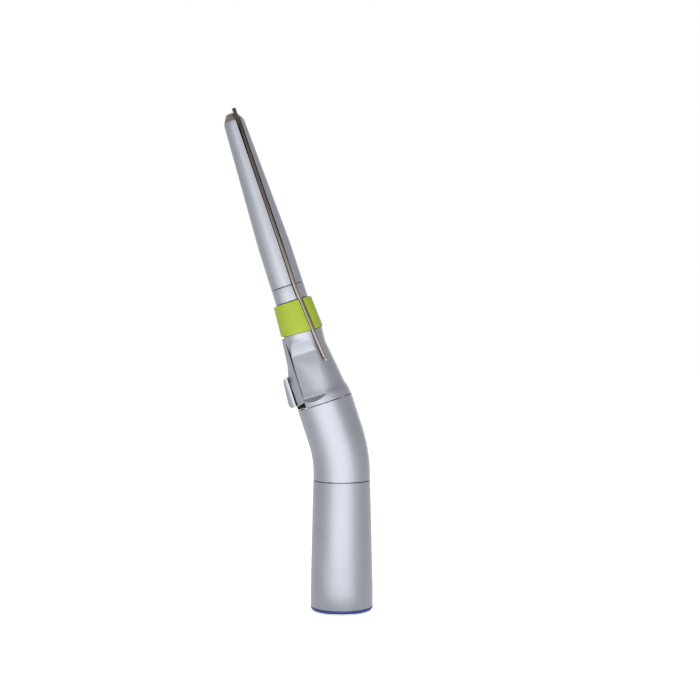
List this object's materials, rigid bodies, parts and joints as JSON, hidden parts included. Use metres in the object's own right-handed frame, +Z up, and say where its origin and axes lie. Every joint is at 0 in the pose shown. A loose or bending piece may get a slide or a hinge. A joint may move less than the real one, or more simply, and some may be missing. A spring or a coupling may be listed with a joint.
{
  "type": "angled surgical handpiece",
  "caption": "Slim angled dental surgical handpiece with a lever-released chuck, a pull-off spray clip and a rear motor coupling.",
  "frame": {"origin": "centre of the rear coupling face, on the axis of the rear sleeve", "axes": "+Z up the rear sleeve towards the bend; the nose leans 18 degrees from +Z towards -X, in the XZ plane; the irrigation tube runs on the -Y side"},
  "size_m": [0.0478, 0.02, 0.1612],
  "materials": {
    "satin_metal": "satin blasted",
    "polished_steel": "polished",
    "tube_steel": "drawn",
    "dark_steel": "hardened",
    "bearing_brass": "machined",
    "blue_ring": "enamel",
    "green_plastic": "satin moulded",
    "seal_rubber": "matte"
  },
  "bodies": {
    "handle": {"rear_sleeve": "satin_metal", "rear_lip_ring": "polished_steel", "ratio_ring": "blue_ring", "socket_liner": "polished_steel", "motor_seal": "seal_rubber", "bend_sleeve": "satin_metal", "drive_carrier": "polished_steel", "carrier_nut": "polished_steel", "drive_rear_bearing_outer_race": "polished_steel", "drive_front_bearing_outer_race": "polished_steel", "spindle_carrier": "polished_steel", "spindle_rear_bearing_outer_race": "polished_steel", "spindle_front_bearing_outer_race": "polished_steel", "lever_housing": "satin_metal", "lever_pin": "polished_steel", "nose_collar": "satin_metal", "nose_sleeve": "satin_metal", "rear_guide_bush": "bearing_brass", "front_guide_bush": "bearing_brass", "nose_cap": "dark_steel"},
    "drive_line": {"drive_shaft": "polished_steel", "drive_dog": "dark_steel", "drive_gear": "dark_steel", "drive_rear_bearing_inner_race": "polished_steel", "drive_front_bearing_inner_race": "polished_steel"},
    "spindle": {"chuck_spindle": "polished_steel", "spindle_gear": "dark_steel", "collet_nut": "dark_steel", "collet_spring": "polished_steel", "spindle_rear_bearing_inner_race": "polished_steel", "spindle_front_bearing_inner_race": "polished_steel"},
    "collet_set": {"collet": "dark_steel", "cross_pin": "polished_steel"},
    "thrust_ring": {"thrust_ring": "bearing_brass"},
    "lever": {"release_lever": "satin_metal"},
    "spray_clip": {"clip_ring": "green_plastic", "spray_tube": "tube_steel"},
    "drive_rear_cage": {"drive_rear_bearing_ball_cage": "bearing_brass"},
    "drive_front_cage": {"drive_front_bearing_ball_cage": "bearing_brass"},
    "spindle_rear_cage": {"spindle_rear_bearing_ball_cage": "bearing_brass"},
    "spindle_front_cage": {"spindle_front_bearing_ball_cage": "bearing_brass"}
  },
  "joints": [
    {"name": "drive_spin", "type": "hinge", "parent": "handle", "child": "drive_line", "pos_m": [0, 0, 0.0359], "axis": [0, 0, 1], "continuous": true},
    {"name": "spindle_spin", "type": "hinge", "parent": "handle", "child": "spindle", "pos_m": [-0.00543, 0, 0.06699], "axis": [-0.309, 0, 0.9511], "continuous": true},
    {"name": "drive_rear_cage_spin", "type": "hinge", "parent": "handle", "child": "drive_rear_cage", "pos_m": [0, 0, 0.0297], "axis": [0, 0, 1], "continuous": true},
    {"name": "drive_front_cage_spin", "type": "hinge", "parent": "handle", "child": "drive_front_cage", "pos_m": [0, 0, 0.0401], "axis": [0, 0, 1], "continuous": true},
    {"name": "spindle_rear_cage_spin", "type": "hinge", "parent": "handle", "child": "spindle_rear_cage", "pos_m": [-0.00262, 0, 0.05834], "axis": [-0.309, 0, 0.9511], "continuous": true},
    {"name": "spindle_front_cage_spin", "type": "hinge", "parent": "handle", "child": "spindle_front_cage", "pos_m": [-0.01428, 0, 0.09424], "axis": [-0.309, 0, 0.9511], "continuous": true},
    {"name": "lever_swing", "type": "hinge", "parent": "handle", "child": "lever", "pos_m": [-0.01746, 0, 0.08622], "axis": [0, 1, 0], "range_deg": [0, 50]},
    {"name": "thrust_ring_slide", "type": "slide", "parent": "handle", "child": "thrust_ring", "axis": [0.309, 0, -0.9511], "range_m": [0, 0.0015]},
    {"name": "collet_slide", "type": "slide", "parent": "spindle", "child": "collet_set", "axis": [0.309, 0, -0.9511], "range_m": [0, 0.0015], "deforming": ["collet_spring"]},
    {"name": "spray_clip_slide", "type": "slide", "parent": "handle", "child": "spray_clip", "axis": [-0.309, 0, 0.9511], "range_m": [0, 0.076]}
  ],
  "couplings": [
    {"joint": "spindle_spin", "follows": "drive_spin", "ratio": 1},
    {"joint": "drive_rear_cage_spin", "follows": "drive_spin", "ratio": 0.4077},
    {"joint": "drive_front_cage_spin", "follows": "drive_spin", "ratio": 0.4077},
    {"joint": "spindle_rear_cage_spin", "follows": "drive_spin", "ratio": 0.4077},
    {"joint": "spindle_front_cage_spin", "follows": "drive_spin", "ratio": 0.4446},
    {"joint": "thrust_ring_slide", "follows": "lever_swing", "m_per_rad": 0.001718},
    {"joint": "collet_slide", "follows": "lever_swing", "m_per_rad": 0.001718}
  ]
}
